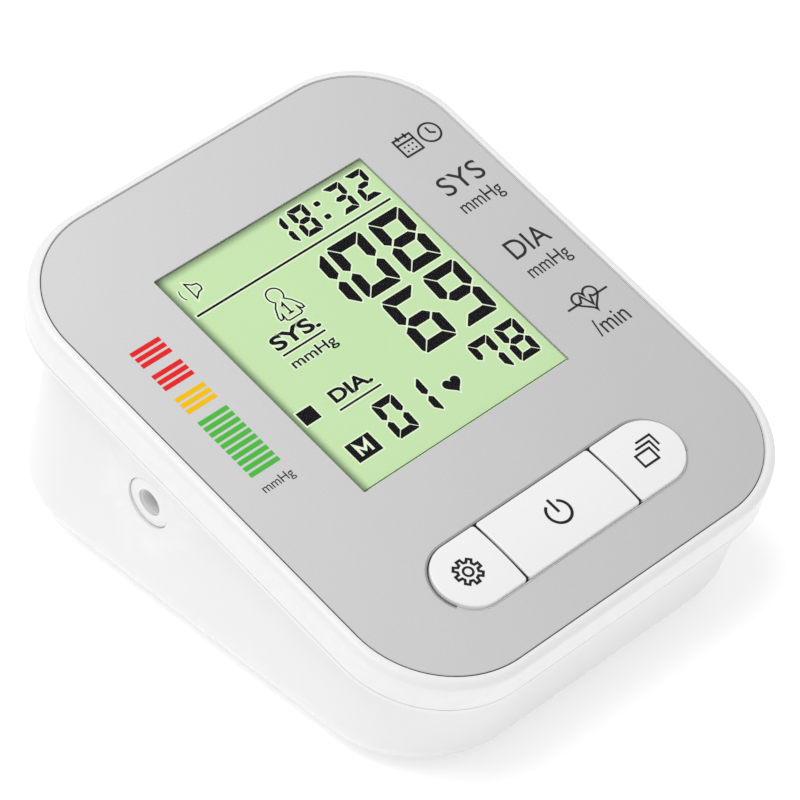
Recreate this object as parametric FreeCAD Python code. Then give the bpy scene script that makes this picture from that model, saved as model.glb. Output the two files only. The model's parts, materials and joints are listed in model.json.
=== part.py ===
"""Desktop monitor of an upper arm blood pressure set, in millimetres.

Row frame: origin on the table under the middle of the case, +Z up, +Y towards the
back, +X to the user's right. The face leans back by TILT about X. Pieces that belong
to the face are drawn flat in the panel frame (x, u up the slope, n out of the face,
origin at the middle of the fascia) and turned into place by tilted().
"""
import FreeCAD, Part
from FreeCAD import Vector as V
import math
import os

os.makedirs("parts", exist_ok=True)

# ---- driving dimensions -----------------------------------------------------------
TILT = 14.7                       # lean of the face, degrees
FASCIA = (102.0, 127.9, 22.0)     # width, length, corner radius of the face recess
RIM_SIDE, RIM_FRONT, RIM_BACK = 2.3, 2.0, 1.9
RIM_CORNER = 23.5                 # corner radius of the outside of the rim
RIM_ROUND = 1.6                   # rounding along the top of the rim
SKIRT = 9.1                       # depth of the rim band below the face
LIP = 1.0                         # part of that band that belongs to the bottom case
PARTING = 0.15                    # open line between cover and case
WALL = 2.2
FOOT_RISE = 0.8                   # how far the feet lift the case
FOOT_R = 4.0
FEET = [(-28, -44), (28, -44), (-37, 30), (37, 30)]             # (x, y)
CENTRE_Z = 49.0                   # middle of the face above the table
CENTRE_Y = -4.32                  # middle of the face from the row origin

TUB_TOP = (49.55, -64.5, 60.25, 22.2)      # half width, front u, back u, corner radius
TUB_FOOT = (51.3, -58.22, 70.38, 25.6)     # half width, front y, back y, corner radius
TUB_EDGE = 9.0                    # rounding along the underside

SEAT = 1.65                       # depth of the fascia seat below the rim
DECK = 2.0                        # thickness of the deck under the fascia
GAP = 0.3                         # open line round the fascia
WINDOW = (-27.6, 27.9, -18.6, 43.4)
KEY_ROW = (0.1, -44.35, 64.4, 15.9)   # centre x, centre u, length, height of the slot
KEY_SPLITS = (-15.6, 15.1)        # where the row divides into three keys
KEY_CLEAR = 0.25                  # open line round each key
KEY_TRAVEL = 0.6

BOARD = (32.5, -55.0, 55.0, -10.2, -8.6)   # half width, u0, u1, n0, n1
SWITCH_TOP = BOARD[4] + 1.6
SWITCH_FLOOR = BOARD[4] + 0.2     # bottom of the hole a plunger dips into
KEY_STOP = 0.1                    # what is left open when a key is fully down
STEM_END = SWITCH_TOP + KEY_TRAVEL + KEY_STOP
CASE_SCREWS = [(-38, -46), (38, -46), (-38, 34), (38, 34)]      # (x, u)
BOARD_SCREWS = [(-28.5, -27), (28.5, -27), (-28.5, 52.5), (28.5, 52.5)]
POST_END = -20.0                  # n where cover posts meet case bosses

BAY = (29.5, -6.5, 55.0, 18.6)    # half width, front y, back y, roof z of the cell bay
BAY_WALL = 1.6
DOOR_MARGIN = 2.0                 # door opening outside the bay
DOOR_GAP = 0.3
CELL_R, CELL_L, CELL_PITCH = 7.25, 50.5, 15.2
CELL_Z = 10.85

SOCKET_X, SOCKET_Y, SOCKET_Z = -49.75, 15.35, 30.4
SOCKET_BORE = 3.0
SOCKET_SEAT = 5.65                # radius of the round recess the socket sits in
PUMP_Y, PUMP_Z = 40.0, 34.2
TEE = V(-14, 12, 24.5)
SPEAKER = (-20, -28, 14.0)        # x, y, radius
OUTLET_Y = 28.5                   # shoulder of the pump's outlet
SENSOR_U = 11.7
BARB, TUBE_IN, TUBE_OUT = 1.4, 1.5, 2.5

GLASS_FACE, GLASS_LEDGE, GLASS_BACK = -0.55, -2.75, -3.85      # n of the display glass
DECK_TOP = -SEAT
DECK_BOTTOM = -SEAT - DECK
FLOOR = FOOT_RISE                 # z of the underside
FLOOR_TOP = FLOOR + WALL


# ---- helpers ------------------------------------------------------------------------
def tilted(shape):
    """Turn a shape from the panel frame into the row frame."""
    s = shape.copy()
    s.rotate(V(0, 0, 0), V(1, 0, 0), TILT)
    s.translate(V(0, CENTRE_Y, CENTRE_Z))
    return s


def panel_point(x, u, n):
    a = math.radians(TILT)
    return V(x, CENTRE_Y + u * math.cos(a) - n * math.sin(a),
             CENTRE_Z + u * math.sin(a) + n * math.cos(a))


def box(x0, x1, y0, y1, z0, z1):
    return Part.makeBox(x1 - x0, y1 - y0, z1 - z0, V(x0, y0, z0))


def disc(x, y, z0, z1, r):
    return Part.makeCylinder(r, z1 - z0, V(x, y, z0))


def rod(start, end, r):
    d = end - start
    return Part.makeCylinder(r, d.Length, start, d)


def rounded_wire(x0, x1, y0, y1, r, z):
    """Closed outline of a rectangle with round corners."""
    corners = [(x1 - r, y1 - r, 0), (x0 + r, y1 - r, 90),
               (x0 + r, y0 + r, 180), (x1 - r, y0 + r, 270)]

    def at(corner, extra):
        a = math.radians(corner[2] + extra)
        return V(corner[0] + r * math.cos(a), corner[1] + r * math.sin(a), z)

    edges = []
    for i, c in enumerate(corners):
        edges.append(Part.Arc(at(c, 0), at(c, 45), at(c, 90)).toShape())
        start, end = at(c, 90), at(corners[(i + 1) % 4], 0)
        if (end - start).Length > 1e-6:
            edges.append(Part.makeLine(start, end))
    return Part.Wire(edges)


def slab(x0, x1, y0, y1, r, z0, z1):
    """Plate with round corners."""
    face = Part.Face(rounded_wire(x0, x1, y0, y1, r, z0))
    return face.extrude(V(0, 0, z1 - z0))


def edges_at(shape, z):
    return [e for e in shape.Edges if all(abs(v.Z - z) < 1e-4 for v in e.Vertexes)]


def rim_slab(inset, n0, n1):
    """Outline of the rim band, drawn in by inset."""
    half = FASCIA[0] / 2 + RIM_SIDE - inset
    front = -(FASCIA[1] / 2 + RIM_FRONT - inset)
    back = FASCIA[1] / 2 + RIM_BACK - inset
    return slab(-half, half, front, back, RIM_CORNER - inset, n0, n1)


def fascia_slab(gap, n0, n1):
    half, length = FASCIA[0] / 2 - gap, FASCIA[1] / 2 - gap
    return slab(-half, half, -length, length, FASCIA[2] - gap, n0, n1)


def stadium(grow, n0, n1):
    x, u, length, height = KEY_ROW
    h = height / 2 + grow
    return slab(x - length / 2 - grow, x + length / 2 + grow, u - h, u + h, h - 0.01, n0, n1)


def pipe_along(path, start, way, r_out, r_in):
    """Sweep a ring or disc along a wire that leaves start in the direction way."""
    def pipe(r):
        ring = Part.Wire([Part.Circle(start, way, r).toShape()])
        return path.makePipeShell([ring], True, True)

    return pipe(r_out).cut(pipe(r_in)) if r_in else pipe(r_out)


def swept(points, r_out, r_in=0.0):
    """Tube or wire: straight first and last stretches, one smooth curve between them."""
    start, end = points[1] - points[0], points[-1] - points[-2]
    bend = Part.BSplineCurve()
    bend.interpolate(Points=points[1:-1], InitialTangent=start.normalize(),
                     FinalTangent=end.normalize())
    path = Part.Wire([Part.makeLine(points[0], points[1]), bend.toShape(),
                      Part.makeLine(points[-2], points[-1])])
    return pipe_along(path, points[0], start, r_out, r_in)


def elbow(start, corner, end, radius, r_out, r_in):
    """Tube of two straight stretches with an arc at the corner."""
    back, on = (start - corner).normalize(), (end - corner).normalize()
    half = back.getAngle(on) / 2
    reach = radius / math.tan(half)
    p, q = corner + back * reach, corner + on * reach
    middle = corner + (back + on).normalize() * (radius / math.sin(half) - radius)
    path = Part.Wire([Part.makeLine(start, p), Part.Arc(p, middle, q).toShape(),
                      Part.makeLine(q, end)])
    return pipe_along(path, start, corner - start, r_out, r_in)


def joined(shapes):
    first = shapes[0]
    return first.multiFuse(shapes[1:]).removeSplitter() if len(shapes) > 1 else first


def save(name, shape):
    shape.exportStep("parts/" + name + ".step")


# ---- top cover, fascia and window -----------------------------------------------------
def top_cover():
    bottom = -(SKIRT - LIP - PARTING)
    cover = rim_slab(0, bottom, 0)
    cover = cover.makeFillet(RIM_ROUND, edges_at(cover, 0))
    cover = cover.cut(rim_slab(WALL, bottom - 1, DECK_BOTTOM))
    cover = cover.cut(fascia_slab(-GAP / 2, DECK_TOP, 1))
    cover = cover.cut(slab(-29.5, 29.5, -20.2, 48.2, 0.6, -6, 0))
    cover = cover.cut(stadium(0.25, -6, 0))
    posts = [disc(x, u, POST_END, DECK_BOTTOM + 0.5, 4.2) for x, u in CASE_SCREWS]
    posts += [disc(x, u, BOARD[4], DECK_BOTTOM + 0.5, 2.7) for x, u in BOARD_SCREWS]
    cover = joined([cover] + posts)
    for x, u in CASE_SCREWS:
        cover = cover.cut(disc(x, u, POST_END - 1, POST_END + 11, 1.35))
    for x, u in BOARD_SCREWS:
        cover = cover.cut(disc(x, u, BOARD[4] - 1, BOARD[4] + 4, 0.95))
    return tilted(cover)


def fascia_panel():
    top = -0.05
    plate = fascia_slab(GAP / 2, DECK_TOP, top)
    plate = plate.makeChamfer(0.15, edges_at(plate, top))
    x0, x1, u0, u1 = WINDOW
    plate = plate.cut(slab(x0, x1, u0, u1, 0.4, -3, 1)).cut(stadium(0, -3, 1))
    slot_edges = [e for e in edges_at(plate, top)
                  if abs(e.CenterOfMass.y - KEY_ROW[1]) < 10 and abs(e.CenterOfMass.x) < 36]
    return tilted(plate.makeChamfer(0.35, slot_edges))


def in_window(n0, n1):
    """Plate that fills the window with a thin open line round it."""
    x0, x1, u0, u1 = WINDOW
    line = 0.15
    return slab(x0 + line, x1 - line, u0 + line, u1 - line, 0.3, n0, n1)


def display_lens():
    return tilted(in_window(GLASS_FACE + 0.07, -0.15))


# ---- liquid crystal display --------------------------------------------------------------
def lcd_glass():
    """Cover block bonded to the front glass, which overhangs the rear glass for contact."""
    cover = in_window(DECK_TOP - 0.1, GLASS_FACE)
    front = box(-28.9, 28.9, -19.5, 47.5, GLASS_LEDGE, DECK_TOP)
    rear = box(-28.9, 28.9, -19.5, 43.0, GLASS_BACK, GLASS_LEDGE)
    return tilted(joined([cover, front, rear]))


def lcd_reflector():
    return tilted(slab(-28.5, 28.5, -19.2, 42.7, 1.0, BOARD[4], GLASS_BACK))


def zebra_strip():
    return tilted(box(-27, 27, 44.0, 46.6, BOARD[4], GLASS_LEDGE))


def lcd_frame():
    outer = slab(-31.2, 31.2, -22.0, 49.6, 1.0, BOARD[4], DECK_BOTTOM - 0.15)
    return tilted(outer.cut(box(-29.1, 29.1, -19.7, 47.7, -12, 0)))


# ---- circuit board -------------------------------------------------------------------------
def key_spans():
    """Left and right limits of the three keys, half the split gap taken off each."""
    x, _, length, _ = KEY_ROW
    left, right = KEY_SPLITS
    return {"set": (x - length / 2 - 3, left - KEY_CLEAR),
            "power": (left + KEY_CLEAR, right - KEY_CLEAR),
            "memory": (right + KEY_CLEAR, x + length / 2 + 3)}


def key_centre(name):
    low, high = key_spans()[name]
    x, _, length, _ = KEY_ROW
    return (max(low, x - length / 2) + min(high, x + length / 2)) / 2


def main_board():
    half, u0, u1, n0, n1 = BOARD
    board = slab(-half, half, u0, u1, 2.0, n0, n1)
    for x, u in BOARD_SCREWS:
        board = board.cut(disc(x, u, n0 - 1, n1 + 1, 1.15))
    return tilted(board)


def board_parts():
    """Controller, memory, crystal and capacitors on the underside."""
    n = BOARD[3]
    parts = [box(-6, 6, -12, 0, n - 1.4, n), box(12, 17, -10, -4, n - 1.5, n),
             box(-24, -19, -12, -6, n - 1.5, n), box(12, 23, 2, 5, n - 3.0, n),
             box(-26, -14, -40, -34, n - 4.0, n), box(14, 26, -40, -34, n - 4.0, n)]
    parts += [disc(x, -20, n - 6.5, n, 2.5) for x in (-18, -10, 10, 18)]
    return tilted(Part.makeCompound(parts))


def tact_switches():
    u = KEY_ROW[1]
    bodies = []
    for name in key_spans():
        x = key_centre(name)
        body = box(x - 3, x + 3, u - 3, u + 3, BOARD[4], SWITCH_TOP)
        bodies.append(body.cut(disc(x, u, SWITCH_FLOOR, SWITCH_TOP + 1, 1.8)))
    return tilted(Part.makeCompound(bodies))


# ---- keys ---------------------------------------------------------------------------------
def key_button(name):
    """Crowned cap with a flange below the deck and a stem over its switch."""
    low, high = key_spans()[name]
    u = KEY_ROW[1]
    band = box(low, high, u - 20, u + 20, -10, 5)
    crown_r = 60.0
    crown = Part.makeCylinder(crown_r, 120, V(-60, u, 1.0 - crown_r), V(1, 0, 0))
    cap = stadium(-KEY_CLEAR, -5.1, 3).common(band)
    splits = [e for e in cap.Edges if abs(e.tangentAt(e.FirstParameter).z) > 0.9
              and min(abs(e.Vertexes[0].X - x) for x in (low, high)) < 1e-4]
    cap = cap.makeFillet(0.7, splits).common(crown)
    rim = [e for e in cap.Edges if all(v.Z > 0.2 for v in e.Vertexes)]
    cap = cap.makeFillet(0.35, rim)
    flange = stadium(0.9, -5.1, DECK_BOTTOM - 0.15).common(band)
    inner = box(low + 1.2, high - 1.2, u - 20, u + 20, -10, 5)
    hollow = stadium(-KEY_CLEAR - 1.4, -6, -0.9).common(inner)
    stem = disc(key_centre(name), u, STEM_END, -0.5, 1.9)
    return tilted(joined([cap, flange]).cut(hollow).fuse(stem).removeSplitter())


def key_plunger(name):
    low = SWITCH_FLOOR + KEY_TRAVEL + KEY_STOP
    return tilted(disc(key_centre(name), KEY_ROW[1], low, STEM_END, 1.5))


# ---- bottom case ---------------------------------------------------------------------------
def tub(inset, bottom, corner_round, top_n):
    """Deep body of the case: ruled from a tilted outline to a level one, edge rounded."""
    half, front, back, corner = TUB_TOP
    top = rounded_wire(-half + inset, half - inset, front + inset, back - inset,
                       corner - inset, top_n)
    top.rotate(V(0, 0, 0), V(1, 0, 0), TILT)
    top.translate(V(0, CENTRE_Y, CENTRE_Z))
    half, front, back, corner = TUB_FOOT
    low = rounded_wire(-half + inset, half - inset, front + inset, back - inset,
                       corner - inset, bottom)
    body = Part.makeLoft([top, low], True, True)
    return body.makeFillet(corner_round, edges_at(body, bottom))


def boss_axis_foot(u):
    """n of the underside on the axis of a case screw at u."""
    a = math.radians(TILT)
    return (FLOOR - CENTRE_Z - u * math.sin(a)) / math.cos(a)


def bay_solids():
    half, y0, y1, roof = BAY
    w = BAY_WALL
    shell = box(-half - w, half + w, y0 - w, y1 + w, FLOOR_TOP - 0.5, roof + w)
    flange = box(-half - 4.5, half + 4.5, y0 - 4.5, y1 + 4.5, FLOOR_TOP - 0.5, FLOOR_TOP + 1.5)
    return [shell, flange]


def door_opening(grow=0.0):
    half, y0, y1, _ = BAY
    m = DOOR_MARGIN + grow
    return -half - m, half + m, y0 - m, y1 + m


def bottom_case():
    rim_n = -SKIRT
    outer = tub(0, FLOOR, TUB_EDGE, rim_n)
    inner = tub(WALL, FLOOR_TOP, TUB_EDGE - WALL, rim_n)
    lip = rim_slab(0, rim_n, rim_n + LIP)
    tongue = rim_slab(WALL + 0.15, rim_n, rim_n + LIP + 1.8).cut(
        rim_slab(WALL + 1.55, rim_n - 1, rim_n + LIP + 2.8))
    mouth = slab(-47.35, 47.35, -62.3, 58.05, 20.0, rim_n - 0.01, rim_n + LIP + 0.01)
    rim = tilted(lip.cut(mouth).fuse(tongue))
    case = joined([outer.cut(inner), rim])
    # bosses for the case screws, trimmed to the inside of the outer skin
    bosses = [tilted(disc(x, u, boss_axis_foot(u) - 3, POST_END - 0.1, 4.5)).common(outer)
              for x, u in CASE_SCREWS]
    x, y, r = SPEAKER
    ring = disc(x, y, FLOOR_TOP - 0.5, FLOOR_TOP + 4, r + 1.8).cut(
        disc(x, y, FLOOR_TOP, FLOOR_TOP + 5, r + 0.2))
    pad = Part.makeCylinder(8.0, 3.2, V(SOCKET_X + 0.4, SOCKET_Y, SOCKET_Z), V(1, 0, 0))
    case = joined([case, pad.common(outer), ring] + bosses + bay_solids())
    cuts = [tilted(disc(x, u, boss_axis_foot(u) - 9, POST_END - 2.5, 3.0))
            for x, u in CASE_SCREWS]
    cuts += [tilted(disc(x, u, boss_axis_foot(u), POST_END + 1, 1.6)) for x, u in CASE_SCREWS]
    half, y0, y1, roof = BAY
    x0, x1, d0, d1 = door_opening()
    cuts += [box(-half, half, y0, y1, -1, roof), box(x0, x1, d0, d1, -1, FLOOR_TOP)]
    # windows for the door's hinge tabs and latch, finger scoop by the latch
    cuts += [box(x - 4.6, x + 4.6, y0 - 5.5, y0 + 0.1, FLOOR_TOP, 9.0) for x in (-18, 18)]
    cuts.append(box(-5.6, 5.6, y1 - 0.1, d1, FLOOR_TOP, FLOOR_TOP + 3))
    cuts.append(Part.makeCylinder(7.0, 1.0, V(0, d1, FLOOR - 0.2)))
    # air socket seat and bore
    way = V(1, 0, 0)
    cuts.append(Part.makeCylinder(SOCKET_SEAT, 3.2, V(SOCKET_X - 2.0, SOCKET_Y, SOCKET_Z), way))
    cuts.append(Part.makeCylinder(4.8, 12.0, V(SOCKET_X - 2.0, SOCKET_Y, SOCKET_Z), way))
    # loudspeaker slots and foot recesses
    for i in range(6):
        slot = y + (i - 2.5) * 3.2
        cuts.append(box(x - 8, x + 8, slot - 0.7, slot + 0.7, -1, FLOOR_TOP + 0.1))
    cuts += [disc(fx, fy, -1, FLOOR + 1.0, FOOT_R + 0.1) for fx, fy in FEET]
    for c in cuts:
        case = case.cut(c)
    return case


def rubber_feet():
    feet = []
    for x, y in FEET:
        foot = disc(x, y, 0, FLOOR + 1.0, FOOT_R)
        feet.append(foot.makeChamfer(0.3, edges_at(foot, 0)))
    return Part.makeCompound(feet)


def pan_screw(x, u, head_n, head_h, head_r, shank_r, length):
    """Screw driven in the +n direction, head below."""
    head = disc(x, u, head_n - head_h, head_n, head_r)
    head = head.makeFillet(head_h * 0.45, edges_at(head, head_n - head_h))
    shank = disc(x, u, head_n, head_n + length, shank_r)
    cross = joined([box(x - w, x + w, u - h, u + h, head_n - head_h - 1, head_n - head_h * 0.35)
                    for w, h in ((head_r * 0.55, 0.3), (0.3, head_r * 0.55))])
    return head.fuse(shank).cut(cross)


def case_screws():
    return tilted(Part.makeCompound(
        [pan_screw(x, u, POST_END - 2.5, 2.0, 2.7, 1.3, 11.0) for x, u in CASE_SCREWS]))


def board_screws():
    return tilted(Part.makeCompound(
        [pan_screw(x, u, BOARD[3], 1.4, 1.9, 0.9, 5.0) for x, u in BOARD_SCREWS]))


# ---- battery bay -----------------------------------------------------------------------------
def cell_y(i):
    middle = (BAY[1] + BAY[2]) / 2
    return middle + (i - 1.5) * CELL_PITCH


def cell_side(i):
    """+1 where the positive end of the cell faces +X."""
    return 1 if i % 2 == 0 else -1


def battery_cell(i):
    y, s = cell_y(i), cell_side(i)
    nub_end = s * (BAY[0] - 0.4)
    can = rod(V(nub_end - s * CELL_L, y, CELL_Z), V(nub_end - s * 1.0, y, CELL_Z), CELL_R)
    ends = [e for e in can.Edges if e.Curve.TypeId == "Part::GeomCircle"]
    can = can.makeFillet(0.5, ends)
    nub = rod(V(nub_end - s * 1.2, y, CELL_Z), V(nub_end, y, CELL_Z), 2.75)
    return can.fuse(nub)


def contact_plates():
    plates = []
    for i in range(4):
        for s in (-1, 1):
            x = s * (BAY[0] - 0.2)
            plates.append(box(x - 0.2, x + 0.2, cell_y(i) - 6, cell_y(i) + 6,
                              CELL_Z - 6, CELL_Z + 6))
    return Part.makeCompound(plates)


def contact_springs():
    """Conical springs on the negative ends, bent in half turns."""
    wire_r, half_turns, wide, narrow = 0.4, 7, 4.6, 2.4
    length = 2 * BAY[0] - 0.8 - CELL_L - 2 * wire_r - 0.1
    ends = []
    for i in range(half_turns + 1):
        reach = wide + (narrow - wide) * i / half_turns
        ends.append(V(reach if i % 2 == 0 else -reach, 0, length * i / half_turns))
    bends = []
    for i, (p, q) in enumerate(zip(ends, ends[1:])):
        bow = (q - p).Length / 2
        middle = (p + q) * 0.5 + V(0, bow if i % 2 == 0 else -bow, 0)
        bends.append(Part.Arc(p, middle, q).toShape())
    ring = Part.Wire([Part.Circle(ends[0], V(0, 1, 0), wire_r).toShape()])
    spring = Part.Wire(bends).makePipeShell([ring], True, True)
    springs = []
    for i in range(4):
        s = spring.copy()
        s.rotate(V(0, 0, 0), V(0, 1, 0), 90 * cell_side(i))
        x = -cell_side(i) * (BAY[0] - 0.4 - wire_r - 0.02)
        s.translate(V(x, cell_y(i), CELL_Z))
        springs.append(s)
    return Part.makeCompound(springs)


def battery_door():
    x0, x1, y0, y1 = door_opening(-DOOR_GAP)
    top = FLOOR + 2.0
    nose = 1.0                    # full round front edge, centred on the hinge axis
    plate = joined([slab(x0, x1, y0 + nose + 0.5, y1, 1.0, FLOOR, top),
                    box(x0, x1, y0 + nose, y0 + 5, FLOOR, top),
                    rod(V(x0, y0 + nose, FLOOR + nose), V(x1, y0 + nose, FLOOR + nose), nose)])
    ribs = [box(x - 0.6, x + 0.6, 2, 47, top - 0.2, top + 0.5) for x in (-12, 12)]
    tabs = []
    for x in (-18, 18):
        hook = box(x - 4, x + 4, y0 - 2.8, y0 + 2.2, FLOOR_TOP + 0.35, FLOOR_TOP + 2.0)
        riser = box(x - 4, x + 4, y0, y0 + 2.2, FLOOR + nose, FLOOR_TOP + 2.0)
        tabs.append(hook.fuse(riser))
    latch = box(-5, 5, y1 - 1.8, y1 - 0.4, top - 0.3, top + 1.2)
    bead = box(-5, 5, y1 - 0.5, y1 + 0.15, FLOOR + 0.9, FLOOR + 1.5)
    door = joined([plate, latch, bead] + ribs + tabs)
    # U shaped slot that frees the latch tongue, and the finger dish in it
    door = door.cut(joined([box(-7.6, -6.8, y1 - 11, y1 + 1, -1, 9),
                            box(6.8, 7.6, y1 - 11, y1 + 1, -1, 9)]))
    dish = Part.makeCylinder(7.0, 10, V(-5, y1 - 4.5, FLOOR - 6.2), V(1, 0, 0))
    return door.cut(dish)


def door_pad():
    """Foam strip that keeps the cells from rattling."""
    return box(-8, 8, 12, 36, FLOOR + 2.0, CELL_Z - CELL_R - 0.1)


# ---- air path ------------------------------------------------------------------------------------
def air_socket():
    x, y, z = SOCKET_X, SOCKET_Y, SOCKET_Z
    flange = rod(V(x, y, z), V(x + 1.2, y, z), SOCKET_SEAT - 0.1)
    flange = flange.makeFillet(0.3, [e for e in flange.Edges
                                     if all(abs(v.X - x) < 1e-4 for v in e.Vertexes)])
    barrel = rod(V(x + 1.0, y, z), V(x + 13.6, y, z), 4.6)
    neck = rod(V(x + 13.6, y, z), V(x + 16.1, y, z), 2.6)
    barb = rod(V(x + 16.1, y, z), V(x + 20.6, y, z), BARB)
    bore = rod(V(x - 1, y, z), V(x + 12.1, y, z), SOCKET_BORE)
    air = rod(V(x + 11, y, z), V(x + 22, y, z), 0.8)
    return joined([flange, barrel, neck, barb]).cut(bore).cut(air)


def socket_ring(offset, thick, r_out, sides=0):
    """Gasket or nut threaded over the barrel of the socket, behind the wall."""
    start = V(SOCKET_X + offset, SOCKET_Y, SOCKET_Z)
    if sides:
        flat = Part.makePolygon([start + V(0, r_out * math.cos(2 * math.pi * k / sides),
                                           r_out * math.sin(2 * math.pi * k / sides))
                                 for k in range(sides + 1)])
        body = Part.Face(flat).extrude(V(thick, 0, 0))
    else:
        body = Part.makeCylinder(r_out, thick, start, V(1, 0, 0))
    return body.cut(Part.makeCylinder(4.65, thick + 2, start - V(1, 0, 0), V(1, 0, 0)))


def pump_head():
    """Diaphragm pump head; its outlet faces the tee."""
    body = rod(V(-22, PUMP_Y, PUMP_Z), V(-2, PUMP_Y, PUMP_Z), 12.6)
    body = body.makeFillet(1.2, [e for e in body.Edges
                                 if all(abs(v.X + 22) < 1e-4 for v in e.Vertexes)])
    rings = [rod(V(x, PUMP_Y, PUMP_Z), V(x + 0.6, PUMP_Y, PUMP_Z), 13.0) for x in (-16, -9)]
    neck = rod(V(TEE.x, PUMP_Y - 7, TEE.z), V(TEE.x, OUTLET_Y, TEE.z), 2.4)
    barb = rod(V(TEE.x, OUTLET_Y + 0.1, TEE.z), V(TEE.x, OUTLET_Y - 4, TEE.z), BARB)
    return joined([body, neck, barb] + rings)


def pump_motor():
    can = rod(V(-2, PUMP_Y, PUMP_Z), V(27, PUMP_Y, PUMP_Z), 12.0)
    can = can.makeFillet(1.5, [e for e in can.Edges
                               if all(abs(v.X - 27) < 1e-4 for v in e.Vertexes)])
    hub = rod(V(27, PUMP_Y, PUMP_Z), V(29, PUMP_Y, PUMP_Z), 4.0)
    lugs = [box(26.8, 30, y - 0.9, y + 0.9, PUMP_Z - 0.25, PUMP_Z + 0.25)
            for y in (PUMP_Y - 7, PUMP_Y + 7)]
    return joined([can, hub] + lugs)


def pump_cradle():
    """Soft saddle between the pump and the roof of the battery bay."""
    low = BAY[3] + BAY_WALL
    block = box(1, 24, PUMP_Y - 14, PUMP_Y + 14, low, PUMP_Z)
    return block.cut(rod(V(0, PUMP_Y, PUMP_Z), V(30, PUMP_Y, PUMP_Z), 12.05))


def tee_fitting():
    arms = [V(-1, 0, 0), V(1, 0, 0), V(0, 1, 0), V(0, 0, 1)]
    solids = [Part.makeSphere(2.6, TEE)]
    for d in arms:
        solids.append(rod(TEE, TEE + d * 3.5, 2.2))
        solids.append(rod(TEE + d * 3.4, TEE + d * 7.5, BARB))
    return joined(solids)


def exhaust_valve():
    body = box(4, 18, 5, 19, BAY[3] + BAY_WALL, 37.5)
    body = body.makeFillet(1.0, [e for e in body.Edges if abs(e.tangentAt(0).z) > 0.9])
    yoke = box(3.5, 18.5, 4.5, 19.5, 33, 35)
    neck = rod(V(1.8, TEE.y, TEE.z), V(4.5, TEE.y, TEE.z), 2.2)
    barb = rod(V(-2.4, TEE.y, TEE.z), V(2, TEE.y, TEE.z), BARB)
    return joined([body, yoke, neck, barb])


def pressure_sensor():
    n = BOARD[3]
    x, u = TEE.x, SENSOR_U
    body = box(x - 5, x + 5, u - 5, u + 5, n - 4, n)
    neck = disc(x, u, n - 5.2, n - 3.9, 2.2)
    return tilted(joined([body, neck, disc(x, u, n - 8.4, n - 5, BARB)]))


def air_tubes():
    """Four soft tubes from the tee to socket, pump, valve and sensor."""
    socket = V(SOCKET_X + 16.1, SOCKET_Y, SOCKET_Z)
    left, right = TEE - V(3.5, 0, 0), TEE + V(3.5, 0, 0)
    to_socket = swept([socket, socket + V(4.4, 0, 0), V(-25.3, 13.6, 27.4), left - V(3.9, 0, 0),
                       left], TUBE_OUT, TUBE_IN)
    straight = []
    for start, end in ((V(TEE.x, OUTLET_Y, TEE.z), TEE + V(0, 3.5, 0)),
                       (right, V(1.8, TEE.y, TEE.z))):
        straight.append(rod(start, end, TUBE_OUT).cut(rod(start, end, TUBE_IN)))
    # the sensor's axis leans with the board and meets the tee's upright arm at a corner
    a = math.radians(TILT)
    corner_n = (CENTRE_Y + SENSOR_U * math.cos(a) - TEE.y) / math.sin(a)
    to_sensor = elbow(TEE + V(0, 0, 3.5), panel_point(TEE.x, SENSOR_U, corner_n),
                      panel_point(TEE.x, SENSOR_U, BOARD[3] - 5.2), 10.0, TUBE_OUT, TUBE_IN)
    return Part.makeCompound([to_socket, to_sensor] + straight)


# ---- loudspeaker and leads -------------------------------------------------------------------------
def speaker():
    x, y, r = SPEAKER
    z = FLOOR_TOP + 0.2
    basket = disc(x, y, z, z + 2.0, r)
    slope = Part.makeCone(12.5, 9.0, 1.6, V(x, y, z + 2.0))
    magnet = disc(x, y, z + 3.6, z + 6.0, 7.5)
    cone = disc(x, y, z - 1, z + 0.8, 11.0)
    return joined([basket, slope, magnet]).cut(cone)


def lead_pair(points, spread):
    """Two insulated wires side by side."""
    return [swept([p + spread * k for p in points], 0.55) for k in (-1, 1)]


def motor_leads():
    end = panel_point(24.0, 24.0, BOARD[3])
    points = [V(29.6, PUMP_Y, PUMP_Z), V(30.4, PUMP_Y, PUMP_Z), V(31.2, PUMP_Y - 7, PUMP_Z + 1.5),
              panel_point(24.0, 24.0, BOARD[3] - 3), end]
    beside = panel_point(0, 0.8, 0) - panel_point(0, 0, 0)
    return Part.makeCompound(lead_pair(points, beside))


def speaker_leads():
    end = panel_point(-20.0, -37.0, BOARD[3] - 4)
    x, y = SPEAKER[0], SPEAKER[1] + 4
    points = [V(x, y, FLOOR_TOP + 6.3), V(x, y, 12), V(x - 2, y + 3, 17),
              panel_point(-20.0, -37.0, BOARD[3] - 7), end]
    return Part.makeCompound(lead_pair(points, V(0.8, 0, 0)))


def battery_leads():
    end = panel_point(20.0, -37.0, BOARD[3] - 4)
    points = [V(28, -8.2, 14), V(28, -11, 14), V(25, -20, 17),
              panel_point(20.0, -37.0, BOARD[3] - 7), end]
    return Part.makeCompound(lead_pair(points, V(0.8, 0, 0)))


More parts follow.
